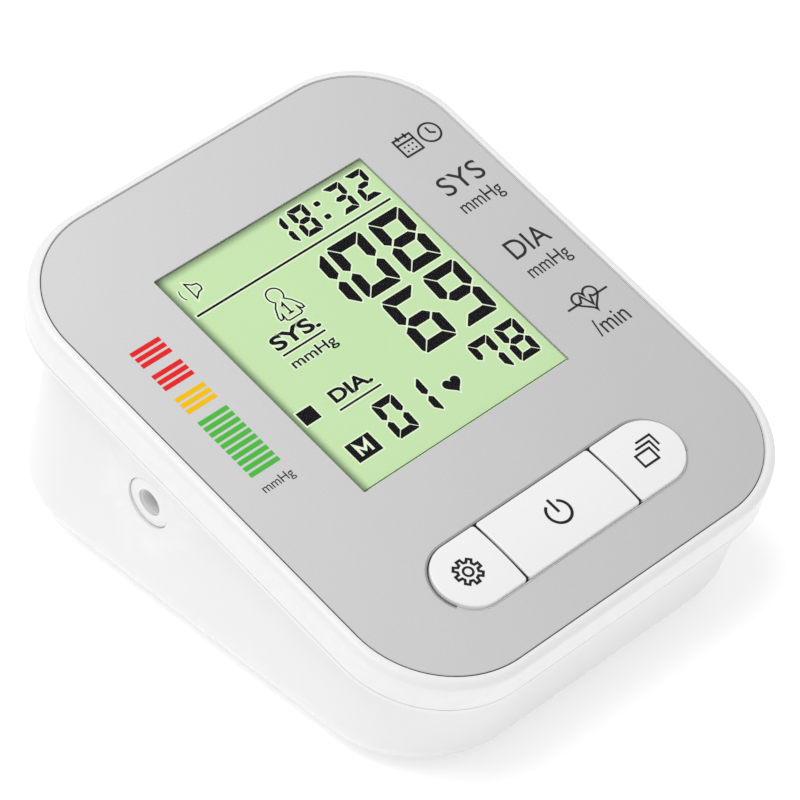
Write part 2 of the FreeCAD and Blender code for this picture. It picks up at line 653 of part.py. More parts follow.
# ---- write every piece -------------------------------------------------------------------------------
PIECES = {
    "top_cover": top_cover, "fascia_panel": fascia_panel, "display_lens": display_lens,
    "lcd_glass": lcd_glass, "lcd_reflector": lcd_reflector, "lcd_frame": lcd_frame,
    "zebra_strip": zebra_strip, "main_board": main_board, "board_parts": board_parts,
    "tact_switches": tact_switches, "bottom_case": bottom_case, "rubber_feet": rubber_feet,
    "case_screws": case_screws, "board_screws": board_screws,
    "contact_plates": contact_plates, "contact_springs": contact_springs,
    "battery_door": battery_door, "door_pad": door_pad, "air_socket": air_socket,
    "pump_head": pump_head, "pump_motor": pump_motor, "pump_cradle": pump_cradle,
    "tee_fitting": tee_fitting, "exhaust_valve": exhaust_valve,
    "pressure_sensor": pressure_sensor, "air_tubes": air_tubes, "speaker": speaker,
    "motor_leads": motor_leads, "speaker_leads": speaker_leads, "battery_leads": battery_leads,
}

for piece, make in PIECES.items():
    save(piece, make())
for key in key_spans():
    save(key + "_button", key_button(key))
    save(key + "_plunger", key_plunger(key))
for cell in range(4):
    save("battery_cell_" + str(cell + 1), battery_cell(cell))
save("socket_gasket", socket_ring(3.6, 0.8, 7.0))
save("socket_nut", socket_ring(4.4, 2.6, 7.4, 6))
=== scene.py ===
"""Looks of a desktop blood pressure monitor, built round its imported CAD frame.

Flat work on the leaning face (printing, display marks, key signs) is drawn in the face
frame: x to the right, u up the slope, n out of the face, in millimetres from the middle of
the face at the height of its rim. FACE turns it into the object's own frame in metres.
"""
import itertools
import json
import math

import bmesh
import bpy
from mathutils import Matrix, Vector
from mathutils.bvhtree import BVHTree


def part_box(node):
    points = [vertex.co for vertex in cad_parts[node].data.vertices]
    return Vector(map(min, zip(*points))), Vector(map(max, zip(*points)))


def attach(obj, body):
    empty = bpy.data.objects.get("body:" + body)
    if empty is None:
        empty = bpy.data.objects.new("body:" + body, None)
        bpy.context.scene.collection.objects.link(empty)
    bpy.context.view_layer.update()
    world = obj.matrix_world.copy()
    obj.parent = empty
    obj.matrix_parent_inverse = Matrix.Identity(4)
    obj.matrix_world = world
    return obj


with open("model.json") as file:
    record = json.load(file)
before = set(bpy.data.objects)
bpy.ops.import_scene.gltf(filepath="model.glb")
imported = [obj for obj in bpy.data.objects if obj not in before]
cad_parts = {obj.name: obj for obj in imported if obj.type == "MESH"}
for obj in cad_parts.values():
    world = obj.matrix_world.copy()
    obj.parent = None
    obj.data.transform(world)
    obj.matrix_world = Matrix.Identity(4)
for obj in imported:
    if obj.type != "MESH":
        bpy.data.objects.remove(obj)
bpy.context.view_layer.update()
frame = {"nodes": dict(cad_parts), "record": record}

# ---- driving values ---------------------------------------------------------------------------
MM = 0.001
TILT = math.radians(14.7)         # lean of the face
ALONG = Vector((0, math.cos(TILT), math.sin(TILT)))
OUT = Vector((0, -math.sin(TILT), math.cos(TILT)))
FASCIA_SINK = 0.05                # printed side of the fascia below the rim, mm
FASCIA_GAP = 0.15                 # open line between the fascia and the rim
FACE_CORNER = 22.0                # corner radius of the recess that holds the fascia
KEY_FLANGE = 0.9                  # rim of the keys that stays under the fascia
GAP_SHADE_HALF = 0.2                    # half the width of the strip of painted shade between two keys
INK = 0.03                        # thickness of printing
SLANT = 0.06                      # lean of the display's digits
PALE_EDGE = 0.32                  # width of the pale line round the display's marks
LAYER, LAYERS = 0.003, 6          # steps between pale lines that cross, so none share a plane
MARK_SHIFT = (0.36, 0.24, 0)      # display marks are laid out on the rim's plane, above the glass


# ---- places taken from the frame ----------------------------------------------------------------
def face_box(*nodes):
    """Lowest and highest (x, u, n) of CAD nodes at rest, in the face frame."""
    to_face = FACE.inverted()
    points = [to_face @ v.co for node in nodes for v in frame["nodes"][node].data.vertices]
    return (Vector([min(point[i] for point in points) for i in range(3)]),
            Vector([max(point[i] for point in points) for i in range(3)]))


fascia_low, fascia_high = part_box("fascia_panel")
fascia_mid = (fascia_low + fascia_high) / 2
fascia_top = max((v.co - fascia_mid).dot(OUT)
                 for v in frame["nodes"]["fascia_panel"].data.vertices)
FACE_ORIGIN = fascia_mid + OUT * (fascia_top + FASCIA_SINK * MM)
FACE = Matrix.Translation(FACE_ORIGIN) @ Matrix.Rotation(TILT, 4, "X") @ Matrix.Scale(MM, 4)
DISPLAY_FACE = FACE @ Matrix.Translation(MARK_SHIFT)

panel_low, panel_high = face_box("fascia_panel")
FASCIA_TOP = panel_high.z
FACE_WIDTH, FACE_LENGTH = (panel_high - panel_low).xy + Vector((2, 2)) * FASCIA_GAP
WINDOW_LOW, WINDOW_HIGH = face_box("display_lens")
GLASS_TOP = face_box("lcd_glass")[1].z
MARK_TOP = GLASS_TOP + 0.045      # top of the display's marks
EDGE_TOP = GLASS_TOP + 0.02       # top of the pale line round them

KEYS = ("set", "power", "memory")
keys_low, keys_high = face_box(*(key + "_button" for key in KEYS))
SLOT_X, SLOT_U, _ = (keys_low + keys_high) / 2
SLOT_LENGTH, SLOT_HEIGHT = (keys_high - keys_low).xy - Vector((2, 2)) * KEY_FLANGE
KEY_SPLITS = [(face_box(one + "_button")[1].x + face_box(other + "_button")[0].x) / 2
              for one, other in zip(KEYS, KEYS[1:])]


# ---- node groups shared by several finishes -----------------------------------------------------
def new_group(name, inputs, outputs):
    """Shader group with named float or colour sockets; returns it with its end nodes."""
    group = bpy.data.node_groups.new(name, "ShaderNodeTree")
    for title, kind, value in inputs:
        socket = group.interface.new_socket(name=title, in_out="INPUT", socket_type=kind)
        socket.default_value = value
    for title, kind in outputs:
        group.interface.new_socket(name=title, in_out="OUTPUT", socket_type=kind)
    return group, group.nodes.new("NodeGroupInput"), group.nodes.new("NodeGroupOutput")


def add(tree, kind, **settings):
    """New node in a tree, with its settings."""
    node = tree.nodes.new(kind)
    for key, value in settings.items():
        setattr(node, key, value)
    return node


def moulded_skin_group():
    """Colour drift, gloss drift and fine spark texture of injection moulded plastic."""
    group, ins, outs = new_group(
        "moulded_skin",
        [("Color", "NodeSocketColor", (0.8, 0.8, 0.8, 1)), ("Drift", "NodeSocketFloat", 0.02),
         ("Roughness", "NodeSocketFloat", 0.4), ("Grain Scale", "NodeSocketFloat", 3000.0)],
        [("Color", "NodeSocketColor"), ("Roughness", "NodeSocketFloat"),
         ("Height", "NodeSocketFloat")])
    link = group.links.new
    place = add(group, "ShaderNodeTexCoord")
    cloud = add(group, "ShaderNodeTexNoise")
    cloud.inputs["Scale"].default_value = 38.0
    cloud.inputs["Detail"].default_value = 3.0
    grain = add(group, "ShaderNodeTexNoise")
    grain.inputs["Detail"].default_value = 2.0
    link(place.outputs["Object"], cloud.inputs["Vector"])
    link(place.outputs["Object"], grain.inputs["Vector"])
    link(ins.outputs["Grain Scale"], grain.inputs["Scale"])
    centred = add(group, "ShaderNodeMath", operation="SUBTRACT")
    centred.inputs[1].default_value = 0.5
    link(cloud.outputs["Fac"], centred.inputs[0])
    scaled = add(group, "ShaderNodeMath", operation="MULTIPLY")
    link(centred.outputs[0], scaled.inputs[0])
    link(ins.outputs["Drift"], scaled.inputs[1])
    tone = add(group, "ShaderNodeHueSaturation")
    value = add(group, "ShaderNodeMath", operation="ADD")
    value.inputs[1].default_value = 1.0
    link(scaled.outputs[0], value.inputs[0])
    link(value.outputs[0], tone.inputs["Value"])
    link(ins.outputs["Color"], tone.inputs["Color"])
    gloss = add(group, "ShaderNodeMath", operation="MULTIPLY_ADD")
    gloss.inputs[1].default_value = 0.12
    link(grain.outputs["Fac"], gloss.inputs[0])
    link(ins.outputs["Roughness"], gloss.inputs[2])
    link(tone.outputs["Color"], outs.inputs["Color"])
    link(gloss.outputs[0], outs.inputs["Roughness"])
    link(grain.outputs["Fac"], outs.inputs["Height"])
    return group


def handled_edge_group():
    """Mask that is 1 on worn outer edges and 0 elsewhere, broken up by noise."""
    group, ins, outs = new_group(
        "handled_edge",
        [("Reach", "NodeSocketFloat", 0.06), ("Breakup", "NodeSocketFloat", 400.0)],
        [("Mask", "NodeSocketFloat")])
    link = group.links.new
    shape = add(group, "ShaderNodeNewGeometry")
    rise = add(group, "ShaderNodeMath", operation="SUBTRACT")
    rise.inputs[1].default_value = 0.5
    link(shape.outputs["Pointiness"], rise.inputs[0])
    ratio = add(group, "ShaderNodeMath", operation="DIVIDE", use_clamp=True)
    link(rise.outputs[0], ratio.inputs[0])
    link(ins.outputs["Reach"], ratio.inputs[1])
    speck = add(group, "ShaderNodeTexNoise")
    link(ins.outputs["Breakup"], speck.inputs["Scale"])
    place = add(group, "ShaderNodeTexCoord")
    link(place.outputs["Object"], speck.inputs["Vector"])
    both = add(group, "ShaderNodeMath", operation="MULTIPLY", use_clamp=True)
    link(ratio.outputs[0], both.inputs[0])
    link(speck.outputs["Fac"], both.inputs[1])
    link(both.outputs[0], outs.inputs["Mask"])
    return group


def face_place_group():
    """Position on the face in millimetres: x to the right, u up the slope."""
    group, ins, outs = new_group("face_place", [],
                                 [("X", "NodeSocketFloat"), ("U", "NodeSocketFloat")])
    link = group.links.new
    place = add(group, "ShaderNodeTexCoord")
    for title, way in (("X", Vector((1, 0, 0))), ("U", ALONG)):
        along = add(group, "ShaderNodeVectorMath", operation="DOT_PRODUCT")
        along.inputs[1].default_value = way / MM
        link(place.outputs["Object"], along.inputs[0])
        shift = add(group, "ShaderNodeMath", operation="SUBTRACT")
        shift.inputs[1].default_value = FACE_ORIGIN.dot(way) / MM
        link(along.outputs["Value"], shift.inputs[0])
        link(shift.outputs[0], outs.inputs[title])
    return group


MOULDED_SKIN = moulded_skin_group()
FACE_PLACE = face_place_group()
HANDLED_EDGE = handled_edge_group()


# ---- finishes -----------------------------------------------------------------------------------
def srgb(r, g, b):
    """Linear colour from 0-255 display values."""
    def linear(value):
        share = value / 255
        return share / 12.92 if share <= 0.04045 else ((share + 0.055) / 1.055) ** 2.4
    return (linear(r), linear(g), linear(b), 1.0)


def finish(name, color, roughness=0.4, drift=0.02, grain=3000.0, bump=0.02, metallic=0.0,
           worn=None, reach=0.06, alpha=1.0, subsurface=0.0, coat=0.0, specular=0.5):
    """Material on the moulded_skin group; worn is the colour that shows along edges."""
    mat = bpy.data.materials.new(name)
    mat.use_nodes = True
    tree = mat.node_tree
    link = tree.links.new
    shader = tree.nodes["Principled BSDF"]
    shader.inputs["Metallic"].default_value = metallic
    shader.inputs["Alpha"].default_value = alpha
    shader.inputs["Specular IOR Level"].default_value = specular
    shader.inputs["Subsurface Weight"].default_value = subsurface
    shader.inputs["Subsurface Scale"].default_value = 0.0015
    shader.inputs["Coat Weight"].default_value = coat
    shader.inputs["Coat Roughness"].default_value = 0.12
    skin = add(tree, "ShaderNodeGroup", node_tree=MOULDED_SKIN)
    skin.inputs["Color"].default_value = color
    skin.inputs["Drift"].default_value = drift
    skin.inputs["Roughness"].default_value = max(roughness - 0.06, 0.02)
    skin.inputs["Grain Scale"].default_value = grain
    out = skin.outputs["Color"]
    if worn:
        edge = add(tree, "ShaderNodeGroup", node_tree=HANDLED_EDGE)
        edge.inputs["Reach"].default_value = reach
        mix = add(tree, "ShaderNodeMix", data_type="RGBA")
        mix.inputs["B"].default_value = worn
        link(edge.outputs["Mask"], mix.inputs["Factor"])
        link(out, mix.inputs["A"])
        out = mix.outputs["Result"]
    link(out, shader.inputs["Base Color"])
    link(skin.outputs["Roughness"], shader.inputs["Roughness"])
    if bump:
        relief = add(tree, "ShaderNodeBump")
        relief.inputs["Strength"].default_value = bump
        relief.inputs["Distance"].default_value = 0.0001
        link(skin.outputs["Height"], relief.inputs["Height"])
        link(relief.outputs["Normal"], shader.inputs["Normal"])
    return mat


def ramp_node(tree, source, low, high, out_low=0.0, out_high=1.0, smooth=False):
    """Map range from low..high to out_low..out_high, held at both ends."""
    node = add(tree, "ShaderNodeMapRange")
    if smooth:
        node.interpolation_type = "SMOOTHSTEP"
    for title, value in (("From Min", low), ("From Max", high), ("To Min", out_low),
                         ("To Max", out_high)):
        node.inputs[title].default_value = value
    tree.links.new(source, node.inputs["Value"])
    return node.outputs["Result"]


def retone(tree, factor):
    """Multiplies the brightness of the base colour by a socket's value."""
    shader = tree.nodes["Principled BSDF"]
    base = shader.inputs["Base Color"].links[0].from_socket
    tone = add(tree, "ShaderNodeHueSaturation")
    tree.links.new(base, tone.inputs["Color"])
    tree.links.new(factor, tone.inputs["Value"])
    tree.links.new(tone.outputs["Color"], shader.inputs["Base Color"])


def silver_fascia():
    """Screen printed silver sheet: fine metallic fleck, and painted shade that darkens it towards
    the right and the front.
    """
    mat = finish("silver_fascia", srgb(202, 202, 203), 0.5, drift=0.03, grain=2600.0,
                 bump=0.03, metallic=0.1)
    tree = mat.node_tree
    place = add(tree, "ShaderNodeTexCoord")
    fleck = add(tree, "ShaderNodeTexVoronoi")
    fleck.inputs["Scale"].default_value = 3000.0
    tree.links.new(place.outputs["Object"], fleck.inputs["Vector"])
    retone(tree, ramp_node(tree, fleck.outputs["Distance"], 0.0, 0.8, 0.975, 1.015))
    # painted shade: the sheet's tone falls towards the right and towards the front
    face = add(tree, "ShaderNodeGroup", node_tree=FACE_PLACE)
    retone(tree, ramp_node(tree, face.outputs["X"], -45.0, 52.0, 1.0, 0.9))
    retone(tree, ramp_node(tree, face.outputs["U"], -60.0, 60.0, 0.94, 1.05))
    return mat


def display_green():
    """Pale green display with a soft painted shadow along its left and back edges."""
    mat = finish("display_green", srgb(202, 234, 179), 0.3, drift=0.03, bump=0.0, specular=0.2)
    tree = mat.node_tree
    face = add(tree, "ShaderNodeGroup", node_tree=FACE_PLACE)
    left, back = WINDOW_LOW.x, WINDOW_HIGH.y
    # painted shadow: the display darkens softly towards its left and back edges, under the
    # window's edge
    side = ramp_node(tree, face.outputs["X"], left - 0.2, left + 2.5, 0.2, 1.0, smooth=True)
    top = ramp_node(tree, face.outputs["U"], back - 2.2, back + 0.2, 1.0, 0.4, smooth=True)
    both = add(tree, "ShaderNodeMath", operation="MULTIPLY")
    tree.links.new(side, both.inputs[0])
    tree.links.new(top, both.inputs[1])
    retone(tree, both.outputs[0])
    return mat


def cell_jacket():
    """Shrink sleeve of a cell: dark middle and plain gold ends."""
    mat = finish("cell_jacket", srgb(34, 38, 42), 0.3, drift=0.05, coat=0.4)
    tree = mat.node_tree
    shader = tree.nodes["Principled BSDF"]
    base = shader.inputs["Base Color"].links[0].from_socket
    place = add(tree, "ShaderNodeTexCoord")
    parts = add(tree, "ShaderNodeSeparateXYZ")
    tree.links.new(place.outputs["Object"], parts.inputs["Vector"])
    reach = add(tree, "ShaderNodeMath", operation="ABSOLUTE")
    tree.links.new(parts.outputs["X"], reach.inputs[0])
    gold_from = 15 * MM
    gold = ramp_node(tree, reach.outputs[0], gold_from, gold_from + 0.2 * MM)
    mix = add(tree, "ShaderNodeMix", data_type="RGBA")
    mix.inputs["B"].default_value = srgb(178, 142, 70)
    tree.links.new(gold, mix.inputs["Factor"])
    tree.links.new(base, mix.inputs["A"])
    tree.links.new(mix.outputs["Result"], shader.inputs["Base Color"])
    return mat


WHITE = srgb(230, 230, 230)
finishes = {
    "housing_white": finish("housing_white", WHITE, 0.36, drift=0.015, bump=0.03,
                            worn=srgb(237, 237, 237), subsurface=0.04),
    "fascia_silver": silver_fascia(),
    "key_grey": finish("key_white", srgb(234, 234, 234), 0.3, drift=0.01, bump=0.01,
                       subsurface=0.04),
    "clear_window": finish("clear_window", srgb(40, 46, 40), 0.06, drift=0.0, bump=0.0,
                           alpha=0.03),
    "display_glass": display_green(),
    "display_backing": finish("display_backing", srgb(205, 236, 180), 0.5),
    "holder_white": finish("holder_white", srgb(225, 225, 220), 0.5),
    "socket_white": finish("socket_white", srgb(234, 234, 234), 0.4, worn=WHITE),
    "rubber_contact": finish("rubber_contact", srgb(190, 110, 110), 0.7),
    "circuit_board": finish("circuit_board", srgb(26, 92, 46), 0.3, drift=0.15, grain=900.0,
                            coat=0.3),
    "chip_black": finish("chip_black", srgb(28, 28, 30), 0.55, drift=0.2),
    "screw_steel": finish("screw_steel", srgb(190, 190, 192), 0.3, metallic=1.0, grain=5000.0,
                          worn=srgb(225, 225, 228)),
    "contact_nickel": finish("contact_nickel", srgb(208, 204, 196), 0.26, metallic=1.0),
    "rubber_dark": finish("rubber_dark", srgb(30, 30, 31), 0.8, bump=0.2, grain=1500.0),
    "rubber_feet": finish("rubber_feet", srgb(168, 168, 170), 0.82, bump=0.2, grain=1500.0),
    "pump_plastic": finish("pump_plastic", srgb(40, 40, 42), 0.45),
    "motor_steel": finish("motor_steel", srgb(196, 196, 198), 0.34, metallic=1.0,
                          grain=4000.0, bump=0.05),
    "foam_dark": finish("foam_dark", srgb(44, 44, 46), 0.95, drift=0.3, bump=0.6, grain=900.0),
    "valve_steel": finish("valve_steel", srgb(176, 176, 178), 0.35, metallic=1.0),
    "tube_silicone": finish("tube_silicone", srgb(228, 228, 226), 0.4, subsurface=0.2),
    "speaker_black": finish("speaker_black", srgb(32, 32, 33), 0.7, bump=0.2, grain=1200.0),
    "wire_red": finish("wire_red", srgb(170, 24, 22), 0.45),
    "wire_black": finish("wire_black", srgb(26, 26, 27), 0.45),
    "cell_jacket": cell_jacket(),
}
display_ink = finish("display_ink", srgb(22, 20, 23), 0.6, drift=0.05, bump=0.0, specular=0.05)
display_light = finish("display_light", srgb(236, 252, 220), 0.35, drift=0.0, bump=0.0,
                       specular=0.2)
label_ink = finish("label_ink", srgb(48, 48, 51), 0.6, drift=0.1, bump=0.02, specular=0.1)
# print on the keys, and painted shade in the lines between them
key_ink_and_gap_shade = finish("key_ink_and_gap_shade", srgb(34, 34, 37), 0.6, drift=0.1, bump=0.02, specular=0.1)
# painted shade: dark grey for linings that stand in for the shadow inside gaps and under edges
groove_shade = finish("groove_shade", srgb(86, 86, 88), 0.9, drift=0.1, bump=0.1, grain=1500.0,
                     specular=0.05)
# painted shade: grey for the slot's back bevel, which faces away from the light
bevel_shade = finish("bevel_shade", srgb(158, 158, 160), 0.6, drift=0.03, bump=0.03)
# sleeve grey, partly painted shade that darkens the inside of the air socket
sleeve_grey_and_shade = finish("sleeve_grey_and_shade", srgb(222, 222, 223), 0.6, drift=0.05, bump=0.05)
scale_inks = {
    "red": finish("scale_red", srgb(222, 36, 38), 0.6, drift=0.04, bump=0.02, specular=0.1),
    "yellow": finish("scale_yellow", srgb(236, 186, 0), 0.6, drift=0.04, bump=0.02,
                     specular=0.1),
    "green": finish("scale_green", srgb(76, 180, 64), 0.6, drift=0.04, bump=0.02, specular=0.1),
}

SLOT_OF = {row["node"]: row["material_slot"] for row in frame["record"]["subparts"]}
for node, obj in frame["nodes"].items():
    obj.data.materials.clear()
    obj.data.materials.append(finishes[SLOT_OF[node]])


# ---- outlines -----------------------------------------------------------------------------------
def arc(cx, cu, r, start, end, steps):
    """Points on a circle from start to end degrees."""
    angles = [math.radians(start + (end - start) * i / steps) for i in range(steps + 1)]
    return [(cx + r * math.cos(a), cu + r * math.sin(a)) for a in angles]


def rounded(x0, x1, u0, u1, r, steps=40):
    """Outline of a rectangle with round corners, anticlockwise from its right side."""
    points = []
    for cx, cu, start in ((x1 - r, u1 - r, 0), (x0 + r, u1 - r, 90), (x0 + r, u0 + r, 180),
                          (x1 - r, u0 + r, 270)):
        points += arc(cx, cu, r, start, start + 90, steps)
    return points


def heart(cx, cu, half_width, size, steps):
    """Outline of a heart, half_width to each side of its middle."""
    points = []
    for i in range(steps):
        a = 2 * math.pi * i / steps
        rise = 13 * math.cos(a) - 5 * math.cos(2 * a) - 2 * math.cos(3 * a) - math.cos(4 * a)
        points.append((cx + half_width * math.sin(a) ** 3, cu + size * rise))
    return points


def grown(outline, reach):
    """Outline of (x, u) points, given anticlockwise, moved outwards by reach."""
    points = []
    for a, b, c in zip(outline[-1:] + outline[:-1], outline, outline[1:] + outline[:1]):
        before = (Vector(b) - Vector(a)).normalized()
        after = (Vector(c) - Vector(b)).normalized()
        side = Vector((before.y + after.y, -before.x - after.x)).normalized()
        stretch = max(side.dot(Vector((before.y, -before.x))), 0.6)
        points.append(tuple(Vector(b) + side * reach / stretch))
    return points


def dense(points, step=0.4):
    """Adds points along straight runs, so that a stroke can follow a curved surface."""
    out = [points[0]]
    for a, b in zip(points, points[1:]):
        count = max(1, math.ceil(math.dist(a, b) / step))
        out += [(a[0] + (b[0] - a[0]) * k / count, a[1] + (b[1] - a[1]) * k / count)
                for k in range(1, count + 1)]
    return out


# ---- flat work ----------------------------------------------------------------------------------
class Sheet:
    """Collects thin prisms drawn on the face and turns them into one piece."""

    def __init__(self, name, low, high):
        self.name, self.low, self.high = name, low, high
        self.outlines, self.strokes = [], []
        self.mesh = bmesh.new()

    def area(self, outline):
        """Filled outline of (x, u) points, either way round."""
        turn = sum(a[0] * b[1] - b[0] * a[1] for a, b in zip(outline, outline[1:] + outline[:1]))
        self.outlines.append(outline if turn > 0 else outline[::-1])
        self.prism(self.outlines[-1])

    def prism(self, points):
        """Flat slice between the sheet's two heights; points run anticlockwise."""
        top = [self.mesh.verts.new((x, u, self.high)) for x, u in points]
        low = [self.mesh.verts.new((x, u, self.low)) for x, u in points]
        self.mesh.faces.new(top)
        self.mesh.faces.new(low[::-1])
        for i in range(len(points)):
            j = (i + 1) % len(points)
            self.mesh.faces.new((top[j], top[i], low[i], low[j]))

    def line(self, points, width, closed=False):
        """Stroke of even width along the points, mitred at the corners."""
        self.strokes.append((points, width, closed))
        count = len(points)
        rails = []
        for i, point in enumerate(points):
            here = Vector(point)
            before = Vector(points[i - 1]) if i or closed else None
            after = Vector(points[(i + 1) % count]) if i < count - 1 or closed else None
            a = (here - before).normalized() if before is not None else None
            b = (after - here).normalized() if after is not None else None
            a, b = a or b, b or a
            side = Vector((-(a + b).y, (a + b).x)).normalized()
            reach = width / 2 / max(side.dot(Vector((-a.y, a.x))), 0.3)
            rails.append((here + side * reach, here - side * reach))
        spans = count if closed else count - 1
        for i in range(spans):
            (l0, r0), (l1, r1) = rails[i], rails[(i + 1) % count]
            self.prism([tuple(r0), tuple(r1), tuple(l1), tuple(l0)])

    def box(self, x0, x1, u0, u1, corner=0.0):
        """Rectangle, with its corners rounded where a corner radius is given."""
        if corner:
            self.area(rounded(x0, x1, u0, u1, corner, 5))
        else:
            self.area([(x0, u0), (x1, u0), (x1, u1), (x0, u1)])

    def pale_edge(self):
        """Pale line painted round every mark of a display."""
        edge = Sheet(self.name + "_edge", GLASS_TOP, EDGE_TOP)
        heights = itertools.cycle([EDGE_TOP + LAYER * step for step in range(LAYERS)])
        for outline in self.outlines:
            edge.high = next(heights)
            edge.prism(grown(outline, PALE_EDGE))
        for points, width, closed in self.strokes:
            edge.high = next(heights)
            edge.line(points, width + 2 * PALE_EDGE, closed)
        edge.piece(display_light, place=DISPLAY_FACE)

    def piece(self, material, body="case", place=FACE):
        """Ends the sheet and puts it in the scene as one piece."""
        bmesh.ops.recalc_face_normals(self.mesh, faces=self.mesh.faces)
        data = bpy.data.meshes.new(self.name)
        self.mesh.to_mesh(data)
        self.mesh.free()
        data.transform(place)
        return settle(self.name, data, material, body)


def settle(name, data, material, body):
    """Puts a finished mesh in the scene, riding on its body."""
    data.materials.clear()
    data.materials.append(material)
    obj = bpy.data.objects.new(name, data)
    bpy.context.scene.collection.objects.link(obj)
    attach(obj, body)
    return obj


def lettering(name, words, spot, depth, material, weight=0.0, place=FACE):
    """Words in the built in type, fitted to spot (x0, x1, u0, u1) and depth (low, high)."""
    x0, x1, u0, u1 = spot
    low, high = depth
    text = bpy.data.curves.new(name + "_text", "FONT")
    text.body = words
    text.offset = weight
    text.extrude = 0.5
    holder = bpy.data.objects.new(name + "_text", text)
    data = bpy.data.meshes.new_from_object(holder)
    bpy.data.objects.remove(holder)
    bpy.data.curves.remove(text)
    xs = [v.co.x for v in data.vertices]
    ys = [v.co.y for v in data.vertices]
    for v in data.vertices:
        v.co.x = x0 + (v.co.x - min(xs)) / (max(xs) - min(xs)) * (x1 - x0)
        v.co.y = u0 + (v.co.y - min(ys)) / (max(ys) - min(ys)) * (u1 - u0)
        v.co.z = low + (v.co.z + 0.5) * (high - low)
    data.name = name
    data.transform(place)
    return settle(name, data, material, "case")


# ---- display ------------------------------------------------------------------------------------
BARS_OF = {"0": "ABCDEF", "1": "BC", "2": "ABGED", "3": "ABGCD", "6": "AFGECD",
           "7": "FABC", "8": "ABCDEFG", "9": "ABCDFG"}
BIG = dict(width=9.05, height=14.6, stroke=2.4, gap=0.3)
SMALL = dict(width=5.65, height=9.4, stroke=1.6, gap=0.2)
CLOCK = dict(width=4.45, height=7.5, stroke=1.28, gap=0.16)
# digits with the left foot of each, the height of their feet, and their size
READINGS = (((("1", -5.4), ("0", 4.85), ("8", 16.05)), 15.2, BIG),
            ((("6", 4.85), ("9", 16.05)), -1.15, BIG),
            ((("0", -13.5), ("1", -6.75)), -13.4, SMALL),
            ((("7", 12.15), ("8", 19.4)), -13.7, SMALL),
            ((("1", -0.85), ("8", 5.15), ("3", 15.1), ("2", 21.1)), 33.9, CLOCK))
COLON = ((12.45, 39.4), (12.15, 35.75))
RULES = ((-26.2, 25.8, 31.65, 32.15), (-18.7, -7.5, 14.65, 15.1), (-18.4, -7.4, -1.6, -1.15))
SQUARES = ((-26.2, -22.3, -0.45, 3.0), (-23.65, -17.45, -13.0, -8.3))
FINE_PEN = 0.34


def digit(sheet, number, x, u, width, height, stroke, gap):
    """One seven bar digit on its left foot (x, u), leaning by SLANT.

    A is the top bar, D the bottom one and G the middle one; F and E run down the left side and
    B and C down the right. Bars are cut slanting where they meet, and their outer corners are
    clipped.
    """
    w, h, t, k, m = width, height, stroke, gap, height / 2
    half, clip = t / 2, 0.12 * t
    cap = [(k + clip * 0.7, h - clip), (k + clip * 1.6, h), (w - k - clip * 1.6, h),
           (w - k - clip * 0.7, h - clip), (w - t - k * 0.4, h - t), (t + k * 0.4, h - t)]
    bars = {
        "A": cap,
        "D": [(px, h - pu) for px, pu in cap],
        "G": [(half + k, m), (t + k, m + half), (w - t - k, m + half), (w - half - k, m),
              (w - t - k, m - half), (t + k, m - half)],
        "F": [(0, h - k - 0.4 * t), (0.07 * t, h - k - 0.2 * t), (0.2 * t, h - k - 0.12 * t),
              (t, h - t - k), (t, m + half + k), (half, m + k), (0, m + half * 0.8 + k)],
    }
    bars["E"] = [(px, h - pu) for px, pu in bars["F"]]
    bars["B"] = [(w - px, pu) for px, pu in bars["F"]]
    bars["C"] = [(w - px, h - pu) for px, pu in bars["F"]]
    for bar in BARS_OF[number]:
        sheet.area([(x + px + SLANT * pu, u + pu) for px, pu in bars[bar]])


def display_digits():
    """Two pressures, pulse, memory number and clock."""
    sheet = Sheet("display_digits", GLASS_TOP, MARK_TOP)
    for digits, u, size in READINGS:
        for number, x in digits:
            digit(sheet, number, x, u, **size)
    for x, u in COLON:
        sheet.box(x - 0.72, x + 0.72, u - 0.6, u + 0.6, 0.4)
    sheet.pale_edge()
    sheet.piece(display_ink, place=DISPLAY_FACE)


def person(sheet):
    """Outline of a standing user with the number 1 on the chest."""
    middle = -10.1
    head = arc(middle, 27.0, 1.8, -55, 235, 20)
    left = [(-12.2, 24.4), (-13.2, 22.4), (-13.2, 21.6), (-12.5, 21.6), (-12.0, 22.6)]
    right = [(2 * middle - x, u) for x, u in left]
    sheet.line(head, FINE_PEN)
    sheet.line([head[-1]] + left, FINE_PEN)
    sheet.line([head[0]] + right, FINE_PEN)
    sheet.line([(-12.0, 22.9), (-12.1, 21.0), (-11.6, 20.7), (-8.6, 20.7), (-8.1, 21.0),
                (-8.2, 22.9)], FINE_PEN)
    number_pen = 0.42
    sheet.line([(-10.7, 24.1), (-10.1, 24.7), (-10.1, 22.0)], number_pen)
    sheet.line([(-10.7, 22.0), (-9.5, 22.0)], number_pen)


def loudspeaker(sheet):
    """Horn and one sound wave."""
    sheet.line([(-23.1, 35.3), (-23.1, 39.4), (-21.9, 38.4), (-20.9, 38.2), (-20.6, 37.3),
                (-20.9, 36.5), (-21.9, 36.3)], FINE_PEN, closed=True)
    sheet.line(arc(-23.3, 37.4, 2.2, 145, 215, 8), 0.26)


def display_marks():
    """Rules, battery and memory squares, heart, user and loudspeaker signs."""
    sheet = Sheet("display_marks", GLASS_TOP, MARK_TOP)
    for spot in RULES + SQUARES:
        sheet.box(*spot)
    sheet.area(heart(4.3, -9.6, 2.1, 0.13, 48))
    person(sheet)
    loudspeaker(sheet)
    sheet.pale_edge()
    sheet.piece(display_ink, place=DISPLAY_FACE)


